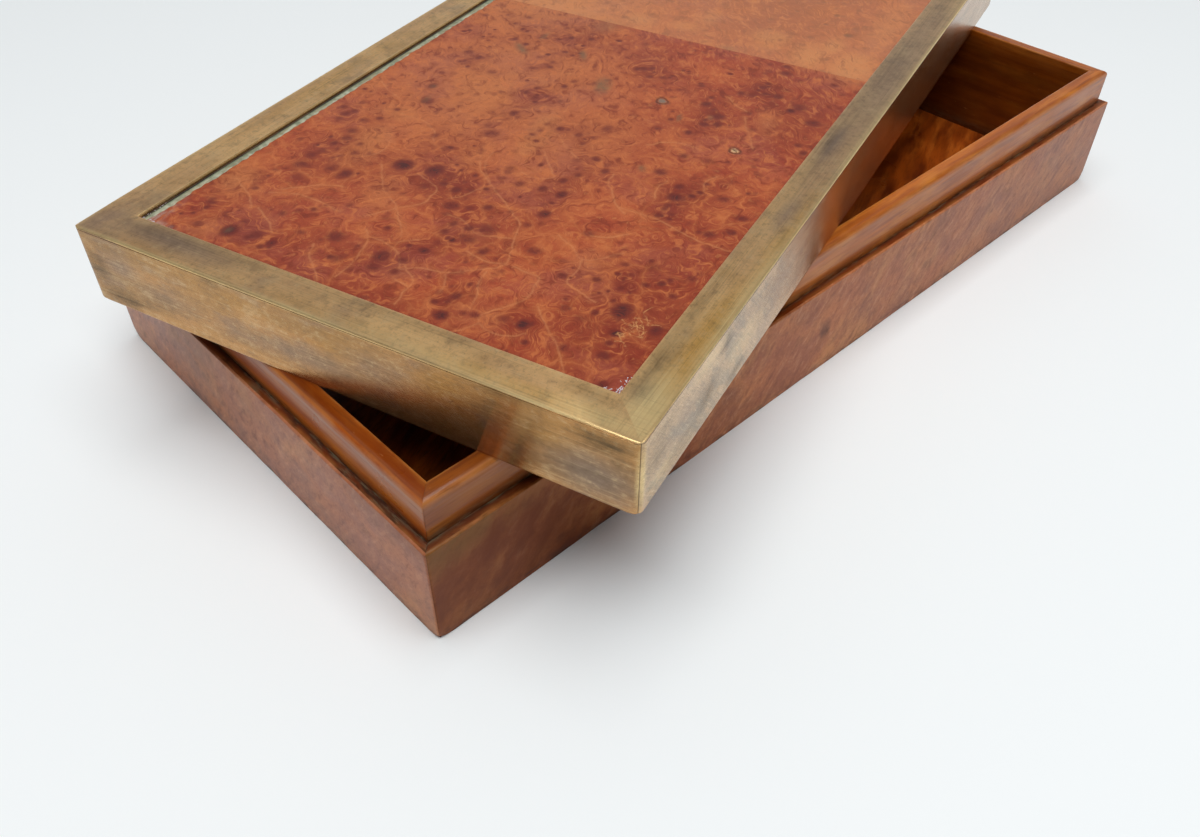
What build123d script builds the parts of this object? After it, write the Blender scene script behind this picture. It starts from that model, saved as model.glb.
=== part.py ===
from build123d import *
import os
from math import cos, radians, sin

# A flat wooden box, veneered in burl, with a lift-off lid that is edged in brass angle.
# The lid is modelled as it lies in the photograph: turned a little, on top of the box's lip.
# Frame: X along the long side, Y along the short side, Z up, origin under the box's centre.
# All sizes are in millimetres.

# ---- overall sizes -------------------------------------------------------------------------
box_length = 352.0          # outside, over the burl veneer
box_width = 180.0
ledge_height = 36.0         # table to the ledge that the closed lid rests on
lip_rise = 13.5             # ledge to the top of the inner lip

# ---- boards of the box ---------------------------------------------------------------------
wall_board = 2.7            # outer wall board
burl_veneer = 0.8           # sawn burl leaf on the outside of the walls and on the lid
lip_board = 5.8             # inner board that rises above the ledge
bottom_board = 6.0
floor_veneer = 0.5

# ---- lid -----------------------------------------------------------------------------------
brass_sheet = 1.2           # thickness of the brass angle
brass_border = 12.4         # width of the brass border seen from above
lid_core = 6.0
lid_lining = 0.6
lip_clearance = 0.3         # closed lid to lip, all round
head_room = 2.6             # closed lid's lining to the top of the lip
veneer_seam = 22.5          # seam between the two burl leaves, from the lid's middle

# ---- where the lid lies --------------------------------------------------------------------
lid_turn = 17.9             # degrees, counterclockwise from above
lid_shift_x = 2.6
lid_shift_y = 14.6

# ---- eased edges ---------------------------------------------------------------------------
box_corner_radius = 0.7     # upright corners of the box
box_edge_radius = 0.4       # ledge and bottom edges of the burl veneer
lip_outer_radius = 1.2      # lip's top edge, on the outside
lip_inner_radius = 0.3      # lip's top edge, on the inside
brass_corner_radius = 0.5   # upright corners of the lid
brass_edge_radius = 0.4     # lid's top edge

# ---- sizes that follow ---------------------------------------------------------------------
ledge_width = burl_veneer + wall_board
lip_top = ledge_height + lip_rise
rail_board = ledge_width - lip_clearance - brass_sheet
skirt = brass_sheet + rail_board
hollow_top = lip_rise + head_room
core_low = hollow_top + lid_lining
core_high = core_low + lid_core
leaf_high = core_high + burl_veneer
lid_height = leaf_high + brass_sheet

BOX = Plane.XY
LID = Plane(
    origin=(lid_shift_x, lid_shift_y, lip_top),
    x_dir=(cos(radians(lid_turn)), sin(radians(lid_turn)), 0),
    z_dir=(0, 0, 1),
)

# Each side runs from one corner to the next, counterclockwise from above.
SIDES = {
    "front": ((-1, -1), (1, -1)),
    "right": ((1, -1), (1, 1)),
    "back": ((1, 1), (-1, 1)),
    "left": ((-1, 1), (-1, -1)),
}


def ring_corner(signs, inset):
    """A corner of the rectangle that lies `inset` inside the box's outline."""
    return (signs[0] * (box_length / 2 - inset), signs[1] * (box_width / 2 - inset))


def side_outline(side, inset, thickness):
    """Outline of one side of a ring, seen from above, with its ends mitred."""
    start, end = SIDES[side]
    Polyline(
        ring_corner(start, inset),
        ring_corner(end, inset),
        ring_corner(end, inset + thickness),
        ring_corner(start, inset + thickness),
        close=True,
    )


def long_edge(part, plane, side, inset, height):
    """The edge that runs along a side, at one distance in from the outline and one height."""
    start, end = SIDES[side]
    first, last = ring_corner(start, inset), ring_corner(end, inset)
    middle = Vector((first[0] + last[0]) / 2, (first[1] + last[1]) / 2, height)
    return part.edges().sort_by_distance(plane.from_local_coords(middle))[0]


def mitred_board(side, plane, inset, thickness, low, high):
    """A plain board along one side of a ring, with mitred ends."""
    with BuildPart() as board:
        with BuildSketch(plane.offset(low)):
            with BuildLine():
                side_outline(side, inset, thickness)
            make_face()
        extrude(amount=high - low)
    return board.part


def bottom_panel():
    """The board between the walls that the lip boards stand on."""
    with BuildPart() as panel:
        with BuildSketch(BOX):
            Rectangle(box_length - 2 * ledge_width, box_width - 2 * ledge_width)
        extrude(amount=bottom_board)
    return panel.part


def wall_burl(side):
    """The burl leaf on the outside of one wall, with eased edges."""
    with BuildPart() as leaf:
        with BuildSketch(BOX):
            with BuildLine():
                side_outline(side, 0, burl_veneer)
            make_face()
        extrude(amount=ledge_height)
        with BuildSketch(BOX):
            RectangleRounded(box_length, box_width, box_corner_radius)
        extrude(amount=ledge_height, mode=Mode.INTERSECT)
        for height in (0, ledge_height):
            fillet(long_edge(leaf.part, BOX, side, 0, height), box_edge_radius)
    return leaf.part


def lip_side(side):
    """One lip board: the box's inner wall, which rises above the ledge and guides the lid."""
    with BuildPart() as lip:
        with BuildSketch(BOX.offset(bottom_board)):
            with BuildLine():
                side_outline(side, ledge_width, lip_board)
            make_face()
        extrude(amount=lip_top - bottom_board)
        outer = long_edge(lip.part, BOX, side, ledge_width, lip_top)
        fillet(outer, lip_outer_radius)
        inner = long_edge(lip.part, BOX, side, ledge_width + lip_board, lip_top)
        fillet(inner, lip_inner_radius)
    return lip.part


def floor_leaf():
    """The veneer on the box's floor, inside the lip boards."""
    inset = ledge_width + lip_board
    with BuildPart() as leaf:
        with BuildSketch(BOX.offset(bottom_board)):
            Rectangle(box_length - 2 * inset, box_width - 2 * inset)
        extrude(amount=floor_veneer)
    return leaf.part


def brass_angle(side):
    """One brass angle: a skirt down the lid's side and a border on top, mitred at the corners."""
    with BuildPart() as angle:
        with BuildSketch(LID):
            with BuildLine():
                side_outline(side, 0, brass_sheet)
            make_face()
        extrude(amount=lid_height)
        with BuildSketch(LID.offset(leaf_high)):
            with BuildLine():
                side_outline(side, 0, brass_border)
            make_face()
        extrude(amount=brass_sheet)
        with BuildSketch(LID):
            RectangleRounded(box_length, box_width, brass_corner_radius)
        extrude(amount=lid_height, mode=Mode.INTERSECT)
        fillet(long_edge(angle.part, LID, side, 0, lid_height), brass_edge_radius)
    return angle.part


def lid_panel(low, high, inset):
    """A rectangular layer of the lid, inside the rails or inside the brass."""
    with BuildPart() as panel:
        with BuildSketch(LID.offset(low)):
            Rectangle(box_length - 2 * inset, box_width - 2 * inset)
        extrude(amount=high - low)
    return panel.part


def lid_leaf(start, end):
    """A burl leaf on top of the lid, between two distances from the lid's middle."""
    with BuildPart() as leaf:
        with BuildSketch(LID.offset(core_high)):
            with Locations(((start + end) / 2, 0)):
                Rectangle(end - start, box_width - 2 * brass_sheet)
        extrude(amount=burl_veneer)
    return leaf.part


def box_pieces():
    """The box, from the table up."""
    pieces = {"bottom_board": bottom_panel(), "floor_veneer": floor_leaf()}
    for side in SIDES:
        pieces[side + "_wall_board"] = mitred_board(
            side, BOX, burl_veneer, wall_board, 0, ledge_height
        )
        pieces[side + "_burl_veneer"] = wall_burl(side)
        pieces[side + "_lip_board"] = lip_side(side)
    return pieces


def lid_pieces():
    """The lid, from its brass inwards."""
    leaf_end = box_length / 2 - brass_sheet
    pieces = {
        "lid_core_board": lid_panel(core_low, core_high, skirt),
        "lid_lining": lid_panel(hollow_top, core_low, skirt),
        "lid_burl_leaf_left": lid_leaf(-leaf_end, veneer_seam),
        "lid_burl_leaf_right": lid_leaf(veneer_seam, leaf_end),
    }
    for side in SIDES:
        pieces[side + "_brass_angle"] = brass_angle(side)
        pieces[side + "_lid_rail"] = mitred_board(side, LID, brass_sheet, rail_board, 0, core_high)
    return pieces


os.makedirs("parts", exist_ok=True)
for name, piece in {**box_pieces(), **lid_pieces()}.items():
    piece.label = name
    export_step(piece, f"parts/{name}.step")
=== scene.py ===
import random
from math import cos, pi, radians, sin

import bpy
import numpy as np
from mathutils import Euler, Matrix, Vector, noise
from mathutils.geometry import delaunay_2d_cdt


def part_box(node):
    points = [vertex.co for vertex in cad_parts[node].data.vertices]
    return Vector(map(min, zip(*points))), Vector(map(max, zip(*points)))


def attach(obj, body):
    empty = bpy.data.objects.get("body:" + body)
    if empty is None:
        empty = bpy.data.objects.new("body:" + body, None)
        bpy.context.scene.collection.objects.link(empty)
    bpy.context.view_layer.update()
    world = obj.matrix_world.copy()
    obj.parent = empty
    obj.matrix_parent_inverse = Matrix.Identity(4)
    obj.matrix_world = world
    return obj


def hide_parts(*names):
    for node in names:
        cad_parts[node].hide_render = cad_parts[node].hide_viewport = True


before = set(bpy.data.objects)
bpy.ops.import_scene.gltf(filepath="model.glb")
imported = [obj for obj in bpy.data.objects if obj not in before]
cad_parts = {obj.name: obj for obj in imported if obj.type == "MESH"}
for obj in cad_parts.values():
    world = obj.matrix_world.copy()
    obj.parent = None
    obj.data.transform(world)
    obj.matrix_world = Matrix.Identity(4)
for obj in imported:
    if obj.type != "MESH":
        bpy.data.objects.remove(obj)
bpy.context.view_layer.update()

# A flat box veneered in burl, and its lift-off lid edged in brass, which lies turned on the box.
# Lengths are in millimetres until a mesh is made. X runs along the box, Y across it, Z up.

MM = 0.001


def corners(node):
    """Lowest and highest corner of a node, in millimetres."""
    low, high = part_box(node)
    return low / MM, high / MM


# ---- sizes read from the frame -------------------------------------------------------------
wall_low, wall_high = corners("front_burl_veneer")
core_low, core_high = corners("lid_core_board")
angle_low, angle_high = corners("front_brass_angle")
LENGTH = wall_high.x - wall_low.x
WIDTH = 2 * corners("left_burl_veneer")[1].y
LEDGE = wall_high.z
LIP_TOP = corners("front_lip_board")[1].z
INSIDE = corners("bottom_board")[1].x                 # half length inside the wall boards
LEDGE_WIDTH = LENGTH / 2 - INSIDE
LIP_BOARD = INSIDE - corners("floor_veneer")[1].x
BOTTOM_TOP = corners("bottom_board")[1].z
LID_HEIGHT = angle_high.z - angle_low.z
LEAF_TOP = corners("lid_burl_leaf_left")[1].z - LIP_TOP
LEAF_LOW = core_high.z - LIP_TOP
BRASS = LID_HEIGHT - LEAF_TOP                         # thickness of the brass sheet

# ---- sizes of the finish and of the wear ---------------------------------------------------
LID_TURN = radians(17.9)
BORDER = 12.4               # brass border seen from above
VENEER = 0.8
SEAM = 22.5                 # between the lid's two leaves, from the lid's middle
HAIRLINE = 0.035            # open joint at a mitre, on each side of it
BRASS_HAIRLINE = 0.004
JOINT_DROP = 0.9            # from the lid's top down to the joint in the brass skirt
LEAF_GAP = 0.02             # round each of the lid's leaves
BRASS_CORNER = 2.0          # rounding of the upright corners, for each kind of piece
WALL_CORNER = 1.1
LEDGE_CORNER = 0.05
LIP_CORNER = 0.5
STEP = 2.5                  # between stations along a side
GRID = 1.0                  # between points of the lid's leaves

# ---- frames --------------------------------------------------------------------------------
lid_middle = (core_low + core_high) / 2
BOX_FRAME = Matrix.Identity(4)
LID_FRAME = Matrix.Translation(Vector((lid_middle.x, lid_middle.y, LIP_TOP)) * MM) @ Matrix.Rotation(
    LID_TURN, 4, "Z"
)

# Each side of a ring: the corner where it starts, and the way it runs, seen from above.
SIDES = {
    "front": ((-1, -1), 0),
    "right": ((1, -1), 90),
    "back": ((1, 1), 180),
    "left": ((-1, 1), 270),
}


def side_frame(side, ring, inset=0.0):
    """Frame of one side of a ring: x runs along it, y goes inward from its face, z goes up."""
    (sx, sy), turn = SIDES[side]
    start = Vector((sx * (LENGTH / 2 - inset), sy * (WIDTH / 2 - inset), 0)) * MM
    return ring @ Matrix.Translation(start) @ Matrix.Rotation(radians(turn), 4, "Z")


def to_ring(points, side):
    """Points of one side's frame in the frame of its ring."""
    (sx, sy), turn = SIDES[side]
    c, s = cos(radians(turn)), sin(radians(turn))
    x = sx * LENGTH / 2 + points[:, 0] * c - points[:, 1] * s
    y = sy * WIDTH / 2 + points[:, 0] * s + points[:, 1] * c
    return np.stack([x, y, points[:, 2]], 1)


def side_length(side, inset=0.0):
    return (LENGTH if side in ("front", "back") else WIDTH) - 2 * inset


# ============================================================================================
# Materials
# ============================================================================================

def rgba(text):
    """A written colour as linear red, green, blue and alpha."""
    parts = [int(text[i:i + 2], 16) / 255 for i in (1, 3, 5)]
    return tuple(p / 12.92 if p <= 0.04045 else ((p + 0.055) / 1.055) ** 2.4 for p in parts) + (1,)


class Paint:
    """A material or a world made of nodes. Most methods return the socket that comes out."""

    def __init__(self, name, owners=None):
        self.made = (bpy.data.materials if owners is None else owners).new(name)
        self.made.use_nodes = True
        self.tree = self.made.node_tree
        self.tree.nodes.clear()
        self.object = self.node("TexCoord").outputs["Object"]
        self.colour = None

    def node(self, kind, sockets=None, **settings):
        made = self.tree.nodes.new("ShaderNode" + kind)
        for name, value in settings.items():
            setattr(made, name, value)
        for key, value in (sockets or {}).items():
            if isinstance(value, bpy.types.NodeSocket):
                self.tree.links.new(value, made.inputs[key])
            else:
                made.inputs[key].default_value = value
        return made

    def place(self, size, turn=0.0, shift=0.0, base=None, lean=0.0):
        """Coordinates in units of `size` (mm along, across and up), leaned, then turned."""
        sizes = size if isinstance(size, tuple) else (size, size, size)
        sockets = {
            "Vector": base or self.object,
            "Location": (shift * MM, shift * MM, shift * MM),
            "Rotation": (0, radians(lean), radians(turn)),
            "Scale": tuple(s * MM for s in sizes),
        }
        return self.node("Mapping", sockets, vector_type="TEXTURE").outputs[0]

    def noise_at(self, vector, detail, rough=0.5):
        sockets = {"Vector": vector, "Scale": 1.0, "Detail": detail, "Roughness": rough}
        return self.node("TexNoise", sockets).outputs

    def noise(self, size, detail=3.0, rough=0.5, turn=0.0, shift=0.0, base=None, lean=0.0):
        return self.noise_at(self.place(size, turn, shift, base, lean), detail, rough)[0]

    def vector(self, operation, a, b):
        return self.node("VectorMath", {0: a, 1: b}, operation=operation).outputs[0]

    def bent(self, size, amount, detail=2.0, shift=0.0):
        """Coordinates pushed about by noise: `amount` mm over features of `size` mm."""
        colour = self.noise_at(self.place(size, shift=shift), detail)[1]
        centred = self.vector("SUBTRACT", colour, (0.5, 0.5, 0.5))
        pushed = self.vector("MULTIPLY", centred, (amount * MM,) * 3)
        return self.vector("ADD", self.object, pushed)

    def cells(self, size, base=None, feature="F1", shift=0.0):
        sockets = {"Vector": self.place(size, 0, shift, base), "Scale": 1.0}
        return self.node("TexVoronoi", sockets, feature=feature).outputs["Distance"]

    def ramp(self, value, low, high, start=0.0, end=1.0):
        """Goes smoothly from `start` to `end` while the value goes from `low` to `high`."""
        sockets = {0: value, 1: low, 2: high, 3: start, 4: end}
        return self.node("MapRange", sockets, interpolation_type="SMOOTHSTEP").outputs[0]

    def calc(self, operation, a, b, clamp=False):
        return self.node("Math", {0: a, 1: b}, operation=operation, use_clamp=clamp).outputs[0]

    def times(self, a, b, clamp=False):
        return self.calc("MULTIPLY", a, b, clamp)

    def plus(self, *values):
        total = values[0]
        for value in values[1:]:
            total = self.calc("ADD", total, value)
        return total

    def blend_values(self, factor, a, b):
        return self.node("Mix", {0: factor, 2: a, 3: b}, data_type="FLOAT").outputs[0]

    def along(self, axis):
        return self.node("SeparateXYZ", {0: self.object}).outputs[axis]

    def data(self, name):
        """A value that the mesh holds at its points."""
        return self.node("Attribute", attribute_name=name).outputs["Fac"]

    def layers(self, field, count, drift, detail, rough):
        """Streaks along the contours of a field, `count` to each unit, that change over `drift` mm."""
        x, y = (self.calc("DIVIDE", self.along(axis), drift * MM) for axis in (0, 1))
        vector = self.node("CombineXYZ", {0: self.times(field, float(count)), 1: x, 2: y}).outputs[0]
        return self.noise_at(vector, detail, rough)[0]

    def mix(self, factor, a, b):
        a, b = (rgba(colour) if isinstance(colour, str) else colour for colour in (a, b))
        return self.node("Mix", {0: factor, 6: a, 7: b}, data_type="RGBA").outputs[2]

    def tint(self, factor, colour):
        """Lays a colour over what is there."""
        self.colour = self.mix(factor, self.colour, colour)

    def vary(self, value, above=None, below=None, share=None):
        """Lays colours over high and low values. Each is given as from, to, strength and colour."""
        for band, ends in ((above, (0, 1)), (below, (1, 0))):
            if band:
                low, high, strength, colour = band
                factor = self.ramp(value, low, high, *(end * strength for end in ends))
                self.tint(self.times(share, factor) if share else factor, colour)

    def bump(self, height, depth, normal=None):
        sockets = {"Height": height, "Distance": depth * MM, "Strength": 1.0}
        if normal:
            sockets["Normal"] = normal
        return self.node("Bump", sockets).outputs[0]

    def shows_background(self):
        """1 for rays that show the background: seen, reflected in metal or through glass."""
        path = self.node("LightPath").outputs
        mirrored = self.calc("MAXIMUM", path["Is Glossy Ray"], path["Is Transmission Ray"])
        return self.calc("MAXIMUM", path["Is Camera Ray"], mirrored)

    def done(self, rough, normal, **constants):
        sockets = {"Base Color": self.colour, "Roughness": rough, "Normal": normal}
        sockets.update({name.replace("_", " "): value for name, value in constants.items()})
        shader = self.node("BsdfPrincipled", sockets)
        self.node("OutputMaterial", {0: shader.outputs[0]})
        return self.made


def brass():
    """Old brushed brass: lines along each side, brown and grey tarnish, rubbed bright edges, and painted
    highlights, painted reflections and painted shadow in its joint.
    """
    p = Paint("aged_brass")
    turned, cross, pale = p.data("turned"), p.data("cross"), p.data("pale")
    on_top = p.ramp(p.along(2), (LID_HEIGHT - JOINT_DROP) * MM, (LID_HEIGHT - 0.2) * MM)

    def brushed(wide, long, **settings):
        """Noise drawn out along each side; where two sides meet, both ways show."""
        one = p.noise((long, wide, wide), **settings)
        other = p.noise((wide, long, wide), **settings)
        return p.blend_values(cross, p.blend_values(turned, one, other), p.calc("MAXIMUM", one, other))

    lines = brushed(0.4, 45, detail=5, rough=0.7)
    streaks = brushed(1.5, 16, detail=4, rough=0.65, shift=7)
    clouds = brushed(11, 40, detail=3, rough=0.55, shift=31)
    grit = p.noise((2.4, 2.4, 1.7), 4, 0.65, shift=91)
    mottle = p.noise((8, 8, 4), 5, 0.65, shift=13)
    hue = p.noise((19, 19, 9), 4, 0.6, shift=51)
    leaning = p.noise((17, 17, 6), 4, 0.6, lean=45, shift=71)
    hairs = p.noise((6, 6, 0.6), 5, 0.7, lean=45, shift=61)

    # The skirt and the border mirror different things, so they have colours of their own.
    clean = p.mix(on_top, "#C6925A", "#F4C688")
    dull = p.mix(on_top, "#AC8250", "#E0B27E")
    gold = p.mix(on_top, "#BE8C4C", "#E0AC5C")
    mauve_sheen = p.mix(on_top, "#957C68", "#A88C76")
    p.colour = p.mix(p.ramp(clouds, 0.34, 0.68), clean, dull)
    # Painted reflection: where the pale marks lie the skirt is made paler, as if it mirrored a brighter part
    # of the table.
    p.tint(p.times(pale, 0.75), "#D4B690")
    p.vary(hue, (0.5, 0.72, 0.4, "#B98B4E"), (0.3, 0.48, 0.45, "#957C6C"))
    # Gold marks: partly golden tarnish, partly a painted reflection of the warm wood nearby.
    p.tint(p.times(p.data("gold"), p.ramp(mottle, 0.3, 0.7, 0.6, 1.15), clamp=True), gold)
    # Mauve marks: partly tarnish, partly a painted reflection of the pale table.
    p.tint(p.data("mauve_sheen"), mauve_sheen)
    p.vary(mottle, (0.5, 0.72, 0.36, "#7E6852"), (0.3, 0.48, 0.35, "#DDBD8E"))
    p.vary(streaks, (0.5, 0.8, 0.2, "#846B4E"))
    p.vary(grit, (0.5, 0.72, 0.34, "#7A6248"), (0.28, 0.48, 0.3, "#E4C898"))
    p.vary(leaning, (0.5, 0.66, 0.5, "#8A8272"), share=pale)
    p.vary(hairs, (0.5, 0.7, 0.62, "#7A6C5C"), (0.28, 0.46, 0.6, "#F2DAB0"), pale)
    p.vary(p.noise((0.8, 0.8, 0.5), 4, 0.7, shift=81), (0.52, 0.76, 0.4, "#6E5842"))
    p.vary(lines, (0.5, 0.76, 0.4, "#7A6448"), (0.26, 0.46, 0.36, "#E6CD9C"))
    p.vary(p.noise(0.6, 2, shift=3), (0.68, 0.8, 0.35, "#4A3826"))
    # Rubbed wear and painted highlights: pale gold laid on the bright marks and on the top edges.
    p.tint(p.times(p.data("bright"), p.ramp(lines, 0.3, 0.7, 1.1, 0.45), clamp=True), "#F8DC9E")
    edge_of_stain = p.plus(
        p.ramp(streaks, 0.36, 0.64, 0, 0.25),
        p.ramp(mottle, 0.3, 0.66, 0.25, 0.65),
        p.ramp(lines, 0.35, 0.65, 0, 0.2),
    )
    stain = p.times(p.data("dark"), edge_of_stain, clamp=True)
    p.tint(p.times(stain, 0.8), "#4A3F2E")
    # Painted shadow in the open joint under the top edge, and a dark line at each mitre.
    p.tint(p.data("joint_shadow"), "#1E1812")
    rough = p.plus(
        p.ramp(clouds, 0.3, 0.7, 0.15, 0.18),
        p.ramp(lines, 0.3, 0.8, 0, 0.04),
        p.times(stain, 0.14),
        p.times(on_top, 0.16),
        p.times(p.data("smooth"), -0.06),
    )
    sideways = p.node("Mix", {0: turned, 4: (1, 0, 0), 5: (0, 1, 0)}, data_type="VECTOR").outputs[1]
    lengthwise = p.node(
        "VectorTransform", {0: sideways}, vector_type="VECTOR", convert_from="OBJECT", convert_to="WORLD"
    ).outputs[0]
    return p.done(
        rough, p.bump(lines, 0.024),
        Metallic=0.9, Tangent=lengthwise, Anisotropic=0.97, Anisotropic_Rotation=0.25,
    )


def lid_burl(name, light, shift):
    """Burl of the lid's leaves: short fibres that bend round dark eyes, and a few pale veins."""
    p = Paint(name)
    netted = p.data("netted")
    bent = p.bent(16, 9, detail=3, shift=shift)
    clouds = p.noise(15, 4, 0.6, base=bent, shift=shift)
    p.colour = p.mix(p.ramp(clouds, 0.3, 0.7), "#A03E22", "#BA5C34")
    p.tint(p.data("gold"), "#CA7E48")
    p.tint(p.data("red"), "#7E2A1A")
    p.vary(p.noise(24, 3, base=bent, shift=shift + 17), (0.46, 0.66, 0.3, "#A0584A"))
    # The fibres are contours of one field: a net of hills on the left, long slopes on the right.
    hills = p.noise(9, 2, base=p.bent(6, 4, shift=shift + 4), shift=shift + 11)
    slopes = p.noise((34, 7, 7), 2, turn=32, base=bent, shift=shift + 12)
    field = p.plus(p.blend_values(netted, slopes, hills), p.times(p.data("hill"), 0.24))
    broad = p.layers(field, 14, 7, detail=2, rough=0.6)
    fine = p.layers(field, 40, 3.5, detail=3, rough=0.65)
    p.vary(broad, (0.5, 0.7, 0.7, "#C8713E"), (0.28, 0.5, 0.7, "#782814"))
    p.vary(fine, (0.52, 0.74, 0.42, "#D4864E"), (0.26, 0.46, 0.4, "#6A2212"))
    # A net of pale veins, each with a broader golden band.
    web = p.cells(12, p.bent(7, 5, detail=3, shift=shift + 9), "DISTANCE_TO_EDGE", shift)
    patchy = p.times(p.ramp(p.noise(18, 2, shift=shift + 2), 0.36, 0.58), netted)
    p.vary(web, below=(0, 0.16, 0.3, "#C06834"), share=patchy)
    p.vary(web, below=(0, 0.035, 0.2, "#D2824E"), share=patchy)
    faint = p.ramp(p.noise(5, 3, shift=shift + 5), 0.3, 0.6, 0.35, 1)
    p.tint(p.times(p.times(p.data("vein"), faint), 0.4), "#D48A58")
    # Small eyes that fill in between the larger ones.
    eyes = p.cells(4.6, p.bent(4, 2.5, shift=shift + 6), shift=shift + 5)
    where = p.ramp(p.noise(17, 2, shift=shift + 8), 0.46, 0.64)
    p.vary(eyes, below=(0.14, 0.4, 0.5, "#6E281E"), share=where)
    ragged = p.ramp(p.plus(fine, p.times(broad, 0.6)), 0.5, 1.05, 0.5, 1.25)
    eye = p.times(p.data("eye"), ragged, clamp=True)
    p.vary(eye, (0.02, 0.55, 0.9, "#6A241C"))
    p.vary(eye, (0.5, 0.95, 0.8, "#3E1C1E"))
    p.tint(p.data("pit"), "#2A1E1A")
    p.tint(p.times(p.data("grey"), ragged), "#6E5A40")
    p.tint(p.times(p.data("curl"), p.ramp(p.noise(1.5, 3), 0.35, 0.6, 0.1, 0.75)), "#D69A60")
    filler = p.mix(p.ramp(p.noise(0.8, 3), 0.4, 0.6), "#7A5A3C", "#D4AC80")
    p.tint(p.data("filled"), p.mix(p.data("dim"), filler, "#86705F"))
    p.vary(p.noise(2.5, 3), (0.3, 0.7, 1, "#6E2414"), share=p.data("edge"))
    # Pale grey-mauve haze, partly a painted sheen, where the mesh's haze value asks.
    p.vary(p.noise((3, 1.2, 1.2), 4, 0.6), (0.35, 0.65, 1, "#A88C80"), share=p.data("haze_and_sheen"))
    grain = p.noise((1.2, 0.2, 0.2), 3, 0.6, turn=32, base=bent)
    p.vary(grain, below=(0.35, 0.7, 0.18, "#5E2010"))
    if light:
        p.tint(0.3, "#DA9C68")
    height = p.plus(p.times(fine, 0.5), p.times(p.data("eye"), -0.6))
    return p.done(
        p.ramp(clouds, 0.3, 0.75, 0.38, 0.48), p.bump(height, 0.02),
        Specular_IOR_Level=0.16, Coat_Weight=0.06, Coat_Roughness=0.18,
    )


def wall_burl():
    """Burl of the box's walls, under a glossier lacquer: softer figure that leans to one side."""
    p = Paint("wall_burl")
    bent = p.bent(18, 12, detail=4)
    clouds = p.noise((20, 20, 13), 5, 0.6, base=bent)
    swirl = p.noise((9, 9, 22), 5, 0.55, base=p.bent(12, 10, detail=3), lean=38, shift=3)
    mottle = p.noise(3.2, 4, 0.65, base=bent, shift=21)
    p.colour = p.mix(p.ramp(clouds, 0.32, 0.68), "#9A5226", "#CE8048")
    p.vary(swirl, (0.48, 0.68, 0.5, "#D89658"), (0.3, 0.46, 0.5, "#7E4020"))
    p.vary(mottle, (0.5, 0.72, 0.42, "#74381E"), (0.3, 0.46, 0.4, "#CC8A56"))
    p.vary(p.noise(26, 3, shift=33), (0.4, 0.65, 0.4, "#AC5634"))
    # Painted sheen: a pale mauve laid over the wood where the mesh asks, for the table mirrored in the
    # lacquer.
    p.tint(p.times(p.data("mauve_sheen"), 0.44), "#B07E6C")
    specks = p.noise((1.1, 1.1, 0.9), 4, 0.7, shift=8)
    p.vary(specks, (0.5, 0.68, 0.2, "#683424"), (0.3, 0.48, 0.18, "#DA9E72"))
    fibre = p.noise((2.6, 2.6, 8), 4, 0.65, base=p.bent(6, 3), lean=38, shift=18)
    p.vary(fibre, (0.5, 0.7, 0.4, "#6C3624"), (0.3, 0.48, 0.34, "#DCA078"))
    # Painted shade: the deep colour where the mesh's tone value asks, strongest towards the near corner
    # under the lid.
    p.tint(p.times(p.data("tone"), p.ramp(swirl, 0.3, 0.65, 0.95, 0.7), clamp=True), "#6A2C00")
    p.tint(p.times(p.data("olive"), p.ramp(swirl, 0.36, 0.6, 0.2, 0.8)), "#6A481C")
    where = p.ramp(p.noise(26, 2, shift=5), 0.5, 0.62)
    p.vary(p.cells(7.5, p.bent(5, 3), shift=3), below=(0.1, 0.4, 0.3, "#4A1E14"), share=where)
    p.tint(p.data("eye"), "#3C1A14")
    p.vary(p.noise((6, 6, 2), 4, 0.6), (0.35, 0.7, 0.6, "#B06A3C"), share=p.data("edge"))
    # Painted shade: near-black along the foot of the wall.
    p.vary(p.noise((5, 5, 1.5), 4), (0.4, 0.65, 1, "#2B1711"), share=p.data("foot"))
    return p.done(
        p.ramp(clouds, 0.3, 0.75, 0.34, 0.46), p.bump(p.plus(swirl, mottle), 0.03),
        Specular_IOR_Level=0.14, Coat_Weight=0.08, Coat_Roughness=0.14,
    )


def grained(name, dark, middle, pale, band=(70, 2.4, 2.4), pore=(9, 0.35, 0.35), turn=0.0):
    """Straight-grained wood: broad bands and short pores that run along the board."""
    p = Paint(name)
    bent = p.bent((40, 9, 9), 2.5)
    pores = p.noise(pore, 3, 0.6, turn=turn)
    p.colour = p.mix(p.ramp(p.noise(band, 3, 0.55, turn=turn, base=bent), 0.3, 0.7), dark, middle)
    p.vary(p.noise((24, 5, 5), 4, turn=turn, base=bent, shift=9), (0.45, 0.7, 0.6, pale))
    p.vary(pores, (0.52, 0.72, 0.5, dark))
    return p, pores


def plain_wood(*words, rough, coat, **sizes):
    p, pores = grained(*words, **sizes)
    return p.done(
        p.ramp(p.noise(30, 3), 0.3, 0.7, rough - 0.05, rough + 0.08), p.bump(pores, -0.015),
        Specular_IOR_Level=0.3, Coat_Weight=coat, Coat_Roughness=0.16,
    )


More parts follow.
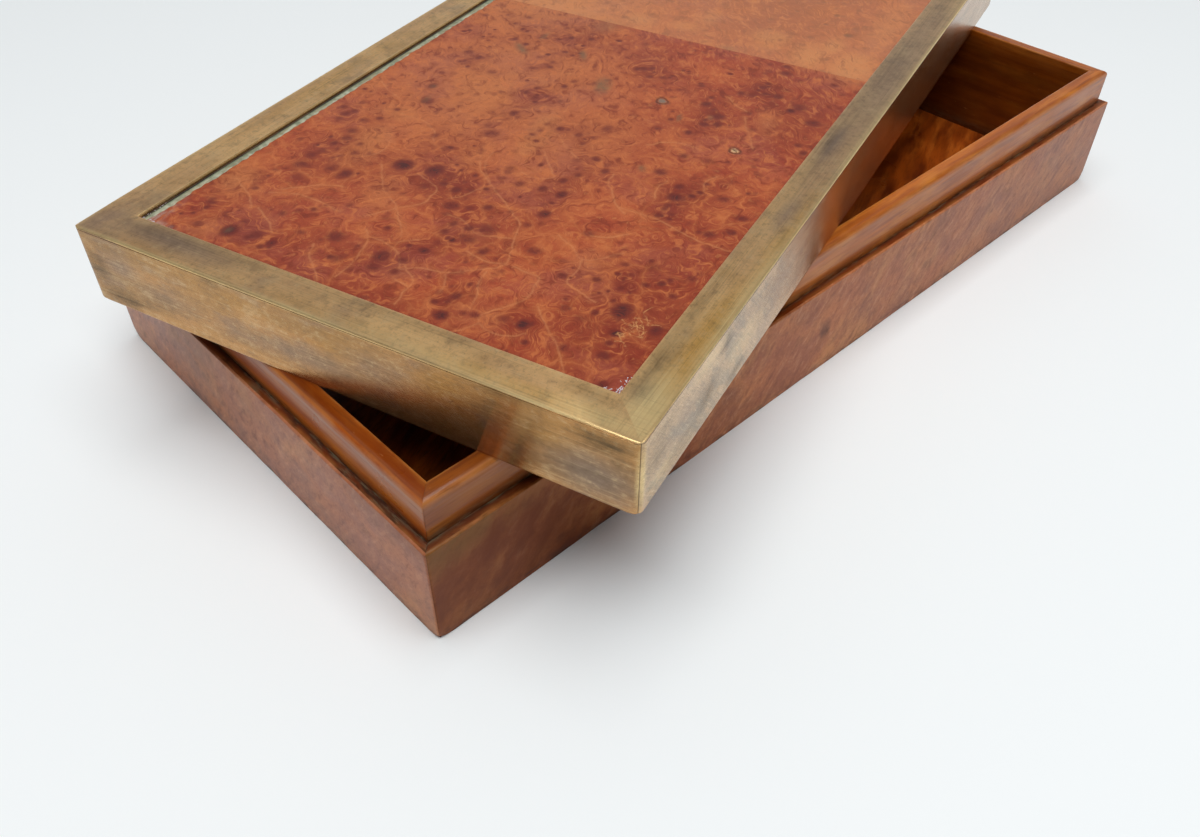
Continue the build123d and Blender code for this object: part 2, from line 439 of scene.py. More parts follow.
def worn_wood(*words, deep, rough, coat, gloss):
    """Lacquered wood whose edges are rubbed pale and whose corners hold dirt, with painted shade and painted
    sheen where the mesh asks for them.
    """
    p, pores = grained(*words)
    # Painted shade: the deep colour laid where the mesh's tone value asks.
    p.tint(p.times(p.data("tone"), p.ramp(p.noise((16, 6, 6), 3, shift=4), 0.3, 0.7, 0.75, 1)), deep)
    p.vary(p.noise((11, 3, 3), 4, 0.6, shift=2), (0.32, 0.62, 0.7, "#C58444"), share=p.data("edge"))
    p.vary(p.noise((14, 1.2, 1.2), 4, 0.65, shift=12), (0.56, 0.74, 0.45, "#4A1E0C"))
    p.vary(p.noise((4, 0.5, 0.5), 3, 0.6, shift=14), (0.68, 0.78, 0.5, "#D09460"))
    # Painted sheen: streaks of pale mauve where the mesh's haze value asks, standing in for the table
    # mirrored in the rounded edge.
    sheen_streaks = p.ramp(p.noise((26, 1.3, 1.3), 4, 0.6, shift=22), 0.3, 0.62, 0.1, 1)
    p.tint(p.times(p.data("haze_and_sheen"), sheen_streaks), "#AE8872")
    dirt = p.times(p.data("dirt"), p.ramp(p.noise((7, 2, 2), 4, 0.6, shift=6), 0.3, 0.6, 0.3, 1))
    dust = p.ramp(p.noise((8, 1.4, 1.4), 4, 0.65, shift=26), 0.46, 0.6)
    p.tint(dirt, p.mix(dust, "#26190F", "#5E5A46"))
    waves = p.bump(p.noise((10, 2.6, 2.6), 3, 0.6, shift=16), 0.09)
    return p.done(
        p.plus(p.ramp(p.noise(24, 3), 0.3, 0.7, rough - 0.05, rough + 0.1), p.times(dirt, 0.3)),
        p.bump(pores, -0.01, waves),
        Specular_IOR_Level=gloss, Coat_Weight=coat, Coat_Roughness=0.08,
    )


def crust():
    """Dried polish and verdigris: pale, greenish towards the brass."""
    p = Paint("polish_crust")
    p.colour = p.mix(p.ramp(p.noise(2.2, 4, 0.6), 0.35, 0.65), "#83866F", "#B8B8A0")
    p.vary(p.noise((9, 1, 1), 3, shift=4), (0.45, 0.7, 0.8, "#94805C"))
    p.tint(p.data("green"), "#5A6A50")
    p.tint(p.data("lilac"), "#C8BCC6")
    height = p.noise(0.6, 4, 0.6)
    return p.done(p.ramp(height, 0.3, 0.7, 0.75, 0.95), p.bump(height, 0.15))


def grime_and_shade():
    """Dark dirt and painted shade in the recess beside the brass border."""
    p = Paint("joint_grime_and_shade")
    p.colour = p.mix(p.ramp(p.noise((6, 1, 1), 4), 0.35, 0.65), "#1E1610", "#4A3A28")
    return p.done(p.ramp(p.noise(2, 3), 0.3, 0.7, 0.6, 0.85), p.bump(p.noise(0.8, 3), 0.05))


# ============================================================================================
# Meshes
# ============================================================================================

def new_object(name, points, faces, matrix, body, material, data, crease=35):
    """A mesh of points in millimetres, smooth but for its creases, that rides on a body."""
    mesh = bpy.data.meshes.new(name)
    mesh.from_pydata([tuple(float(v) * MM for v in p) for p in points], [], faces)
    mesh.polygons.foreach_set("use_smooth", [True] * len(mesh.polygons))
    mesh.set_sharp_from_angle(angle=radians(crease))
    for key, values in data.items():
        attribute = mesh.attributes.new(key, "FLOAT", "POINT")
        attribute.data.foreach_set("value", np.asarray(values, np.float32))
    mesh.materials.append(material)
    made = bpy.data.objects.new(name, mesh)
    bpy.context.scene.collection.objects.link(made)
    made.matrix_world = matrix
    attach(made, body)
    return made


def unit(values):
    """The values, held between 0 and 1."""
    return np.clip(values, 0, 1)


def fade(distance, reach):
    """1 at no distance, falling evenly to 0 at `reach`."""
    return unit(1 - distance / reach)


def wobble(points, size, seed):
    """Smooth noise from about -1 to 1 at each point, with features of `size` mm."""
    offset = Vector((seed * 17.3, seed * 5.1, seed * 9.7))
    return np.array([noise.noise(Vector(p) / size + offset) for p in points]) * 1.6


def stations(length, dense):
    """Distances along a side, closer together by its ends, symmetric about its middle."""
    middle = length / 2
    count = max(2, round((middle - dense) / STEP))
    half = [dense * (1 - cos(pi / 2 * k / 5)) for k in range(5)]
    half += [dense + (middle - dense) * k / count for k in range(count + 1)]
    return np.array(half + [length - s for s in reversed(half[:-1])])


def swept(length, section, corner_radius, gap=HAIRLINE):
    """A closed (inward, up) section swept along a side with mitred, rounded ends.

    Returns its points, its faces and how far each point is from the nearer end.
    """
    along = stations(length, corner_radius + 1.0)[:, None]
    section = np.array(section, float)
    blunt = corner_radius * (1 - 1 / 2 ** 0.5)
    start = np.maximum(section[:, 0], blunt) + gap
    middle = length / 2
    offset = start + np.minimum(along, length - along) * (middle - start) / middle
    x = np.where(along <= middle, offset, length - offset)
    from_end = np.minimum(x, length - x)
    inside = np.clip(corner_radius - from_end, 0, corner_radius)
    arc = corner_radius - np.sqrt(np.maximum(corner_radius ** 2 - inside ** 2, 0))
    y = np.maximum(section[None, :, 0], arc)
    z = np.repeat(section[None, :, 1], len(along), 0)
    faces = swept_faces(*x.shape)
    return np.stack([x, y, z], -1).reshape(-1, 3), faces, from_end.ravel()


def swept_faces(rows, count):
    """Quads between the rows of a swept section, and a face at each end."""
    faces = []
    for r in range(rows - 1):
        for c in range(count):
            here, beside = r * count + c, r * count + (c + 1) % count
            faces.append((here, beside, beside + count, here + count))
    return faces + [tuple(range(count))[::-1], tuple((rows - 1) * count + c for c in range(count))]


def arc_points(centre, radius, first, last, count):
    """Points on a quarter or part of a circle in a section, angles in degrees."""
    turns = [radians(first + (last - first) * k / count) for k in range(count + 1)]
    return [(centre[0] + radius * cos(t), centre[1] + radius * sin(t)) for t in turns]


def spread(first, last, step):
    """Evenly spaced values strictly between two ends."""
    count = max(1, round(abs(last - first) / step))
    return [first + (last - first) * k / count for k in range(1, count)]


def upright(y, low, high, step):
    """A straight stretch of a section from one height to another, without its ends."""
    return [(y, z) for z in spread(low, high, step)]


def blob(points, x, y, rx, ry, turn=0.0):
    """1 at a place in the first two coordinates and 0 from an ellipse round it outwards."""
    t = radians(turn)
    dx, dy = points[:, 0] - x, points[:, 1] - y
    u = (dx * cos(t) + dy * sin(t)) / rx
    v = (dy * cos(t) - dx * sin(t)) / ry
    inward = unit(1 - np.sqrt(u * u + v * v))
    return inward * inward * (3 - 2 * inward)


# ---- brass ---------------------------------------------------------------------------------
# Marks on the brass, for each side, face and kind: where each is in mm (along the side, then up
# the skirt or in from the outer edge), its half sizes and its strength. Dark marks are tarnish, smooth
# marks only make the brass less rough, pale marks are painted reflection, mauve and gold marks are
# partly tarnish and partly painted reflection, and bright marks are rubbed wear and painted highlights.
BRASS_MARKS = {
    ("left", "skirt"): {
        "dark": [
            (5, 13, 7, 7, 0.7), (12, 3, 15, 4, 0.8), (26, 7, 14, 4, 0.35), (52.4, 9.2, 1.6, 1.1, 1),
            (170, 20, 13, 5, 1), (175, 15, 6, 9, 0.5), (166, 9, 20, 11, 0.25), (157, 4, 18, 5, 0.25),
            (141, 11, 7, 15, 0.4), (140, 23, 14, 1.6, 0.5), (51, 23, 7, 1.4, 0.5), (100, 1.5, 40, 2, 0.35),
        ],
        "mauve_sheen": [
            (167, 8, 22, 13, 0.85), (14, 15, 12, 6, 0.7), (30, 10, 20, 6, 0.45), (83, 9, 34, 7, 0.6),
            (104, 15, 18, 13, 0.4), (62, 8, 24, 6, 0.45), (172, 7, 10, 5, 0.4),
        ],
        "gold": [
            (38, 21, 20, 6, 0.6), (60, 19, 16, 4, 0.75), (101, 20, 18, 5, 0.8), (126, 17, 11, 10, 0.9),
            (137, 20, 14, 5, 0.6), (158, 15, 12, 4.5, 0.95), (168, 7, 12, 2.4, 0.4), (20, 19, 10, 3.5, 0.5),
            (88, 15, 12, 4, 0.4), (24, 8, 12, 3, 0.3),
        ],
        "bright": [(179, 12, 1.4, 14, 0.5), (90, 24, 90, 0.7, 0.4)],
    },
    ("front", "skirt"): {
        # Painted reflection: a paler patch where this skirt mirrors a brighter part of the table.
        "pale": [(45, 12, 90, 60, 1.2)],
        "smooth": [(122, 12, 40, 40, 1)],
        "dark": [
            (10, 14, 10, 9, 0.3), (48, 19, 6, 4, 0.6), (38, 9, 8, 6, 0.6), (57, 3, 8, 3.5, 0.6),
            (24, 4, 22, 4.5, 0.45), (103, 7, 12, 5, 0.35), (12, 20, 16, 3.5, 0.3), (78, 17, 9, 6, 0.15),
        ],
        "bright": [
            (38, 21, 16, 4.5, 0.4), (61, 11, 22, 8, 0.3), (1.6, 12, 1.8, 14, 0.6), (12, 5, 12, 3.5, 0.3),
        ],
        "mauve_sheen": [(85, 12, 18, 10, 0.5), (25, 12, 20, 9, 0.45), (52, 13, 16, 8, 0.25)],
        "gold": [(136, 13, 36, 24, 0.9)],
    },
    ("back", "skirt"): {
        "dark": [(40, 8, 22, 6, 0.5), (120, 18, 30, 5, 0.4), (210, 5, 40, 4, 0.5), (300, 15, 26, 7, 0.45)],
        "gold": [(80, 14, 30, 8, 0.5)],
        "mauve_sheen": [(250, 12, 40, 8, 0.5)],
        "bright": [(180, 24, 170, 0.7, 0.3)],
    },
    ("right", "skirt"): {
        "dark": [(30, 14, 18, 6, 0.5), (95, 4, 30, 4, 0.5), (150, 19, 20, 4, 0.45)],
        "gold": [(110, 16, 26, 7, 0.5)],
        "mauve_sheen": [(60, 9, 26, 6, 0.5)],
        "bright": [(90, 24, 85, 0.7, 0.3)],
    },
    ("front", "border"): {
        "dark": [
            (30, 9, 28, 4, 0.5), (16, 9, 6, 5, 0.5), (50, 10, 36, 2.8, 0.4), (150, 9, 50, 4, 0.3),
            (215, 8, 40, 5, 0.3), (270, 6, 30, 6, 0.35),
        ],
        "mauve_sheen": [(104, 6, 20, 5, 0.6), (150, 8, 30, 5, 0.8), (200, 6, 130, 16, 0.5), (15, 7, 6, 6, 0.6)],
        "gold": [(38, 3.5, 44, 5.5, 1), (95, 2.5, 46, 3.6, 0.6)],
        "bright": [
            (8, 4, 26, 9, 0.95), (60, 1.2, 60, 2.4, 0.5), (160, 1, 90, 1.8, 0.3), (290, 2, 50, 3, 0.3),
        ],
    },
    ("left", "border"): {
        "dark": [
            (20, 9, 22, 4, 0.25), (45, 10.5, 30, 3, 0.2), (110, 10, 50, 3.5, 0.2), (162, 9, 12, 3.5, 0.4),
        ],
        "mauve_sheen": [(30, 8, 36, 7, 0.7), (6, 5, 12, 8, 0.3)],
        "gold": [(145, 3, 46, 3.5, 0.5), (90, 3, 40, 2.5, 0.3)],
        "bright": [(170, 3, 26, 6, 0.6), (120, 1.5, 60, 4, 0.35)],
    },
    ("back", "border"): {
        "dark": [(330, 9, 20, 4, 0.2), (200, 10, 60, 3, 0.15), (80, 8, 50, 4, 0.2)],
        "mauve_sheen": [(345, 6, 14, 8, 0.5)],
        "gold": [(250, 5, 70, 5, 0.4)],
    },
    ("right", "border"): {
        "dark": [(40, 7, 24, 5, 0.4), (120, 9, 30, 4, 0.4)],
        "gold": [(90, 4, 60, 4, 0.4)],
    },
}
MARK_KINDS = ("dark", "bright", "gold", "mauve_sheen", "pale", "smooth")
MARK_GAIN = 1.3


def brass_marks(points, side, kind):
    """The marks of one kind on one side, at each point."""
    is_top = points[:, 2] > LID_HEIGHT - 0.4
    total = np.zeros(len(points))
    for face, across in (("skirt", 2), ("border", 1)):
        for x, y, rx, ry, strength in BRASS_MARKS[side, face].get(kind, ()):
            mark = blob(points[:, [0, across]], x, y, rx, ry) * strength * MARK_GAIN
            total = np.maximum(total, np.where(is_top == (face == "border"), mark, 0))
    return unit(total)


def brass_section():
    """Closed section of a brass angle: skirt, open joint, rubbed top edge, border and back again."""
    edge, easing = 0.5, 0.22
    top, joint = LID_HEIGHT, LID_HEIGHT - JOINT_DROP
    flat_end = BORDER - easing - 0.4
    outline = [(0, easing), (0, easing + 0.4)]
    outline += upright(0, easing + 0.4, joint - 0.5, 2.4)
    outline += [(0, joint - 0.5), (0.02, joint - 0.06), (0.12, joint), (0.12, joint + 0.1)]
    outline += [(0.02, joint + 0.16), (0, top - edge)]
    outline += arc_points((edge, top - edge), edge, 180, 90, 4)[1:]
    outline += [(y, top) for y in (0.7, 1.0, 1.4, 1.8, 2.3, *spread(2.3, flat_end, 2.0), flat_end)]
    outline += arc_points((BORDER - easing, top - easing), easing, 90, 0, 3)
    outline += [(BORDER, top - BRASS), (BRASS, top - BRASS), (BRASS, 0.1), (BRASS - 0.1, 0), (easing, 0)]
    outline += arc_points((easing, easing), easing, 270, 180, 3)[1:-1]
    return outline


def bend_brass(points, from_end, is_top, number):
    """Makes the sheet a little wavy, rolls its top edge and corners down and blunts its foot."""
    _, y, z = points.T
    calm = unit((from_end - 1) / 12)
    outer = (y < 0.9) * unit(z / 3) * unit((LID_HEIGHT - z) / 3)
    upper = is_top * unit(y / 2) * unit((BORDER - y) / 2)
    waves = wobble(points * (1, 1, 1.6), 34, number) + 0.35 * wobble(points, 13, number + 10)
    y += np.maximum(0, 0.1 + 0.07 * waves) * outer * calm
    z -= np.maximum(0, 0.04 + 0.025 * waves) * upper * calm
    roll = fade(y, 2.6) ** 2 * (0.13 + 0.04 * wobble(points * (1, 0, 0), 26, number + 5))
    z += fade(from_end, 3.5) ** 2 * 0.9 * fade(z, 4)
    z -= is_top * (roll + fade(from_end, 22) ** 2 * 0.16)


def brass_angle(side, number, material):
    """A strip of bent brass with a rubbed top edge, and the marks on it: tarnish, painted reflections,
    painted highlights and painted shadow in its joint.
    """
    points, faces, from_end = swept(side_length(side), brass_section(), BRASS_CORNER, BRASS_HAIRLINE)
    _, y, z = points.T
    is_top = z > LID_HEIGHT - 0.32
    bend_brass(points, from_end, is_top, number)
    # Painted shadow along the open joint below the top edge, broken here and there, and a dark line along
    # each mitre.
    shadow = fade(abs(z - (LID_HEIGHT - JOINT_DROP + 0.05)), 0.12) * (y < 0.5)
    broken = unit(0.75 + 0.6 * wobble(points * (1, 0, 0), 4, number + 15))
    mitre = fade(from_end - y, 0.16) * np.where(is_top, 0.0, 0.8)
    data = {kind: brass_marks(points, side, kind) for kind in MARK_KINDS}
    data["joint_shadow"] = np.maximum(shadow * broken, mitre)
    patchy = 0.75 + 0.25 * wobble(points * (1, 0, 0), 21, number + 25)
    # The outer top edge is rubbed and also given a painted highlight; on the back side the inner top edge
    # gets a painted highlight too.
    rubbed_and_highlit = (z > LID_HEIGHT - 0.45) * unit(1.25 - y / 1.2) * patchy
    inner = 0.6 * (is_top & (y > BORDER - 0.4)) * (side == "back")
    data["bright"] = unit(np.maximum(data["bright"], np.maximum(rubbed_and_highlit, inner)))
    # At a corner the brushing of both sides crosses, and its direction changes over a few mm.
    data["cross"] = is_top * fade(from_end - BORDER + 1, 5) * 0.8
    meeting = is_top * 0.5 * fade(from_end - y, 15)
    data["turned"] = meeting if side in ("front", "back") else 1 - meeting
    made = new_object(
        "brass_edging_" + side, to_ring(points, side), faces, LID_FRAME, "lid", material, data
    )
    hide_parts(side + "_brass_angle")


# ---- lid leaves ----------------------------------------------------------------------------
# Pale veins of the left leaf, each a line through points in mm from the lid's middle.
VEINS = [
    [(-162, 14), (-158, 18), (-154, 23), (-149, 26)],
    [(-158, 11), (-150, 11), (-145, 12.5), (-140, 14), (-136, 18)],
    [(-138.5, 16), (-138.5, 10), (-140, 5), (-143, 1), (-147, -2)], [(-137, 6), (-134.5, 4), (-133, 2)],
    [(-130, 22), (-127, 20), (-122.5, 17.5), (-119, 22), (-116, 27), (-110, 32), (-105, 36)],
    [(-122.5, 17.5), (-120, 14), (-117, 12), (-113, 12), (-109, 12.5), (-106, 17), (-104, 23)],
    [(-122.5, 17.5), (-126, 14), (-129, 11), (-134, 7)], [(-111, 7), (-108, 4), (-104, 2.5), (-99, 0)],
    [(-160, -10), (-155, -9), (-149, -8), (-146.5, -4), (-142, 2)],
    [(-147, -2), (-144, -6), (-143, -11), (-141, -16), (-138, -19), (-135, -23), (-131, -26)],
    [(-151, -3), (-152, -8)], [(-150, -17.5), (-146, -16), (-143, -14)],
    [(-137, -23), (-142, -24), (-147, -27), (-153, -28)],
    [(-131, -26), (-127, -24.5), (-122, -22), (-117, -20.5), (-112, -18), (-109, -14), (-105, -9),
     (-101, -3), (-97, 2), (-92, 6.5), (-88, 9), (-82, 10)], [(-99, 0), (-96, 4), (-91, 9), (-86, 12)],
    [(-131, -13), (-132, -17), (-132.5, -21), (-131, -26)],
    [(-118, 2), (-119, -4), (-122, -9), (-122, -14), (-120, -20)],
    [(-164, -28), (-160, -31), (-156, -33), (-153, -32), (-150, -33.5), (-146, -36.5), (-141, -38.5),
     (-136, -37.7), (-132.5, -37), (-131.5, -33), (-131, -28)],
    [(-156, -33), (-157.5, -38), (-156.5, -43), (-154, -46)],
    [(-112, -31), (-115, -37), (-119, -42.5), (-116, -47), (-111, -51)],
    [(-119, -42.5), (-124, -44), (-130, -44), (-132, -49), (-134, -55)],
    [(-108, -39), (-106, -44), (-102, -48)],
    [(-163, -62), (-158, -58.5), (-154, -55), (-150, -50), (-146, -46), (-143, -43)],
    [(-88, -4), (-89, -9), (-86, -14), (-80, -9), (-74, -4)], [(-72, -15), (-69, -9), (-66, -6), (-62, -2)],
    [(-93, -42), (-90, -38), (-85, -34), (-80, -30), (-75, -29)],
    [(-91, -39), (-91, -47), (-92, -55), (-95, -64), (-96, -76)], [(-81, -46), (-76, -44), (-71, -45)],
    [(-54, -30), (-50, -34), (-48, -40), (-49, -46)], [(-71, -57), (-66, -55.5), (-61, -57)],
    [(-40, -60), (-33, -56), (-27, -52), (-22, -50)], [(-18, -49), (-16, -44), (-12, -40)],
    [(-143, 54), (-139, 58), (-136, 63), (-133, 69)], [(-131, 53), (-127, 48), (-123, 44), (-121, 38)],
    [(-104, 44), (-99, 41), (-93, 42), (-88, 46)], [(-132, 30), (-131, 40), (-131, 47), (-134, 55)],
    [(-60, 70), (-64, 64), (-67, 57)], [(-150, 40), (-146, 45), (-142, 52)],
    [(-86, 30), (-80, 34), (-76, 41), (-76, 50)],
]
# Where short bright threads lie by the near corner: place, spread and how many.
THREADS = (-139.5, -69.5, 5.5, 2.6, 30)
# Dark eyes of the leaves: place, radius and strength.
EYES = [
    (-155, 51, 3.8, 0.9), (-153, 43, 2.8, 0.6), (-154, 36.5, 2.2, 0.8), (-157, 38, 1.8, 0.5),
    (-145, 67, 2.4, 0.35), (-117, 57.5, 3.6, 0.5), (-111, 58.5, 2.8, 0.6), (-115, 42, 3.6, 0.65),
    (-114, 48, 3.4, 0.4), (-141, 44, 2.4, 0.4), (-135, 37.5, 1.8, 0.45), (-128, 30, 2, 0.4),
    (-102, 30, 4.4, 0.9), (-146, 33, 2.4, 0.4), (-123, 54, 2.8, 0.4), (-105, 68, 2, 0.4),
    (-143, 23, 4.2, 0.55), (-151, 16, 3.2, 0.35), (-132.5, 13, 1.9, 0.6), (-144.5, 6, 3.6, 0.75),
    (-149.5, 5, 3, 0.55), (-106, 7.5, 2.8, 0.6), (-114, 4, 3.2, 0.7), (-136.5, 2.5, 1.3, 0.6),
    (-136.5, -2.5, 2.1, 0.95), (-126, -2, 2.3, 0.5), (-121.5, -2, 2.2, 0.5), (-128.5, -6.5, 1.5, 0.85),
    (-126, -10, 3.6, 0.45), (-112.5, -1.5, 2.2, 0.45), (-109.5, -6, 2.6, 0.55), (-119, -12, 4, 0.45),
    (-104.5, -22, 2.8, 0.75), (-158, -23, 2.9, 0.9), (-149.5, -22, 2.3, 0.7), (-154, -18.5, 1.6, 0.6),
    (-129, -17, 2.6, 0.6), (-105, 13, 2.4, 0.5), (-109, 17, 3, 0.4), (-151, -43.5, 2.6, 0.95),
    (-151.5, -38, 2.6, 0.4), (-122, -29, 2.8, 0.55), (-134, -62.8, 3.9, 1), (-142.8, -65.5, 2.1, 1),
    (-152, -67, 2.8, 0.55), (-147, -66, 1.5, 0.7), (-138, -57, 1.7, 0.65), (-125.5, -58, 1.7, 0.55),
    (-121, -63, 1.8, 0.6), (-118.5, -66.5, 1.9, 0.6), (-122, -71.5, 1.9, 0.5), (-113, -61.5, 3.2, 0.4),
    (-140, -49.5, 2.4, 0.45), (-142, -55, 2.8, 0.35), (-137, -74, 2.8, 0.8), (-161.5, -72, 2.2, 0.8),
    (-107, -38, 2.8, 0.4), (-97, 55.5, 2.8, 0.55), (-92.5, 57, 3, 0.45), (-85, 58, 2.8, 0.4),
    (-82, 32, 2.4, 0.45), (-54, 53, 2.8, 0.55), (-64, 48, 3.4, 0.6), (-44, 56, 1.9, 0.5),
    (-88, 66, 2.2, 0.4), (-100, 19.5, 4.2, 0.85), (-72, 17, 3.6, 0.5), (-68, 21, 2.6, 0.35),
    (-57, 18, 2.8, 0.6), (-93, -21, 2.6, 0.85), (-93, -14.5, 2.4, 0.6), (-86, -17.5, 2.2, 0.6),
    (-94, -7, 2.8, 0.45), (-88, 0, 3.2, 0.35), (-76, -3, 1.6, 0.45), (-70, -20, 2.3, 0.55),
    (-81, -20, 2.3, 0.45), (-75, -26, 2.3, 0.55), (-51, -14, 3.2, 0.45), (-78, -51, 3.2, 0.85),
    (-72, -49.5, 2.3, 0.7), (-75, -55, 1.9, 0.7), (-72, -56.5, 1.5, 0.7), (-67, -41, 3.2, 0.5),
    (-72, -64, 2.8, 0.5), (-91, -68, 2.8, 0.55), (-87, -73, 2.3, 0.6), (-79, -73, 2.3, 0.65),
    (-55, -43, 2.8, 0.4), (-54, -51, 3, 0.4), (-43, -28, 2.3, 0.45), (-25.5, 57, 2.9, 0.5),
    (-35, 41, 2.8, 0.4), (-33, -40, 2.4, 0.6), (-20, -35, 3, 0.6), (-31, -44, 2.8, 0.55),
    (-26, -42, 3.2, 0.6), (-7, -42, 2.3, 0.5), (-6, -46, 2.6, 0.45), (1, -47, 2.3, 0.55), (-3, -54, 3, 0.6),
    (-10.5, -61.5, 2, 0.9), (-7, -63, 4, 0.5), (15, -50, 3.2, 0.5), (14.5, -68, 2, 0.6),
    (20, -29, 4.6, 0.7), (5, -33, 1.3, 0.7), (-35, -75, 2.3, 0.6), (-31, -72, 2.2, 0.5),
    (-15, -71, 3.6, 0.6), (10, 14, 1.8, 0.6), (12, 4, 2.8, 0.35), (18, 24, 6, 0.5), (-7, 70, 3.2, 0.35),
    (30, 22, 2, 0.5), (23, -18, 2.4, 0.6), (56.5, -59, 2.3, 0.9), (48, -47, 2.2, 0.5), (62, -48, 1.4, 0.6),
    (72, -49, 1.9, 0.6), (56, -28, 2.2, 0.4), (40, -38, 1.8, 0.4), (86, -20, 2.4, 0.5), (104, 20, 3, 0.5),
    (118, -44, 2.6, 0.6), (140, 10, 3.4, 0.5), (92, 50, 2.6, 0.5), (150, -62, 2.6, 0.6),
]
# Patches and marks of the leaves: place, half sizes, turn and strength.
GREY_MARKS = [
    (-25, 2, 7, 3.4, 20, 0.75), (-13.5, 42, 5.5, 1.8, 50, 0.9), (0, 40, 4.5, 1.4, 5, 0.45),
    (-7.5, 19.5, 4.8, 1.5, 32, 0.85), (-33, -31, 2.8, 0.9, 18, 1), (-68, -35, 2.6, 1.2, 35, 0.7),
    (-63, 49, 3, 1.5, 10, 0.45), (-54, 52.5, 2, 1.6, 0, 0.4), (-28, -40, 2.4, 1, 30, 0.5),
    (19, 24, 7, 6, 0, 0.3), (24, -24, 2.6, 4, 0, 0.4), (-155, 51.5, 1.6, 1.2, 0, 0.5),
    (80, -24, 5, 2, 20, 0.5),
]
GOLD_PATCHES = [
    (-40, 34, 66, 50, 10, 0.55), (20, 52, 44, 40, 0, 0.6), (-66, -6, 40, 30, 0, 0.4),
    (-133, 68, 11, 8, 40, 0.7), (-97, 48, 17, 9, 10, 0.75), (-75, 51, 9, 13, 0, 0.6),
    (-64, 4, 22, 8, 12, 0.85), (-47, 16, 12, 8, 30, 0.75), (-63, 71, 14, 6, 20, 0.45),
    (-34, 22, 12, 9, 30, 0.6), (-153, -35, 5, 4, 0, 0.5), (-121, -46, 9, 7, 0, 0.4),
    (-9, 62, 22, 7, 15, 0.4), (-85, 14, 22, 8, 0, 0.45), (-117, 26, 14, 8, 20, 0.4),
    (-158, 58, 6, 7, 60, 0.5), (-147, -2, 6, 4, 30, 0.5), (-22, -58, 12, 5, 20, 0.4),
    (-64, -12, 13, 6, 10, 0.4), (41, -34, 7, 8, 0, 1), (33, -52, 13, 8, 10, 0.8), (31, -69, 15, 9, 5, 1),
    (44, -57, 9, 5, 0, 0.8), (31, 17, 7, 9, 0, 0.7), (34, -2, 5, 8, 0, 0.5), (46, -7, 8, 4, 15, 0.6),
    (34, -36, 7, 6, 0, 0.6), (90, 20, 26, 14, 20, 0.6), (130, -30, 24, 12, 10, 0.6),
    (110, 60, 30, 10, 0, 0.5), (70, -70, 30, 8, 0, 0.4),
]
RED_PATCHES = [
    (-150, 60, 40, 40, 0, 0.3), (-138, -66, 50, 24, 0, 0.6), (74, -30, 50, 30, 0, 0.4),
    (-160, 10, 7, 70, 0, 0.5), (-120, -72, 50, 10, 0, 0.4), (-126, -8, 14, 12, 0, 0.4),
    (-76, -56, 16, 16, 0, 0.4), (-30, -40, 20, 10, 20, 0.45), (-14, -68, 34, 11, 0, 0.5),
    (-148, -64, 18, 13, 0, 0.5), (-104, 24, 10, 20, 0, 0.35), (-152, 30, 12, 12, 0, 0.4),
    (4, -48, 22, 16, 10, 0.35), (2, -4, 14, 10, 0, 0.4), (8, 30, 14, 26, 0, 0.35),
    (-96, -14, 16, 12, 0, 0.35), (72, -36, 14, 8, 10, 0.35), (100, -50, 40, 14, 0, 0.3),
    (150, 40, 24, 30, 0, 0.4),
]
# How far the soft edge of each kind reaches beyond its half sizes, and how much stronger it is.
PATCHES = {"grey": (GREY_MARKS, 1.4, 1.0), "gold": (GOLD_PATCHES, 1.5, 1.3), "red": (RED_PATCHES, 1.5, 1.3)}
# Holes filled with putty: place, radius and how dim the putty is.
FILLED = [(-25.2, -21, 1.5, 1.0), (-44, -55.6, 1.35, 0.0)]
LIGHT_PINS = [(-109.3, 39.5, 0.7), (-42.5, -62.8, 0.8), (-29, -1, 0.8)]
VEIN_WIDTH, THREAD_WIDTH = 0.48, 0.22
EYE_CLUSTERS, LONE_EYES = 44, 70
LID_SEED, THREAD_SEED = 4, 8


def smooth_line(points, step):
    """Points about `step` mm apart on a curve through the given ones."""
    given = [Vector(p) for p in points]
    given = [given[0] * 2 - given[1]] + given + [given[-1] * 2 - given[-2]]
    line = []
    for a, b, c, d in zip(given, given[1:], given[2:], given[3:]):
        square, cube = 2 * a - 5 * b + 4 * c - d, 3 * b - a - 3 * c + d
        count = max(2, round((c - b).length / step))
        for k in range(count):
            t = k / count
            line.append(0.5 * (2 * b + (c - a) * t + square * t * t + cube * t ** 3))
    return line + [given[-2]]


def short_threads(rng):
    """Short curved threads scattered about one place."""
    made = []
    cx, cy, rx, ry, count = THREADS
    for _ in range(count):
        x, y, turn = rng.gauss(cx, rx * 0.6), rng.gauss(cy, ry * 0.6), rng.gauss(0.3, 0.8)
        line = [(x, y)]
        for _ in range(rng.randint(2, 4)):
            turn += rng.uniform(-0.7, 0.7)
            x, y = x + 0.8 * cos(turn), y + 0.8 * sin(turn)
            line.append((x, y))
        made.append(line)
    return made


def vein_lines(x_low, x_high, half_y):
    """The veins and threads as fine lines with a little shake, kept inside one leaf."""
    lines = []
    drawn = [(VEIN_WIDTH, 0.9, v) for v in VEINS]
    drawn += [(THREAD_WIDTH, 0.5, t) for t in short_threads(random.Random(THREAD_SEED))]
    for number, (width, step, points) in enumerate(drawn):
        line = []
        for place in smooth_line(points, step):
            spot = [(place.x, place.y, number)]
            place = place + 0.3 * Vector((wobble(spot, 2.6, 3)[0], wobble(spot, 2.6, 4)[0]))
            if x_low + 1 < place.x < x_high - 1 and abs(place.y) < half_y - 1:
                line.append(place)
        if len(line) > 2:
            lines.append((width, line))
    return lines


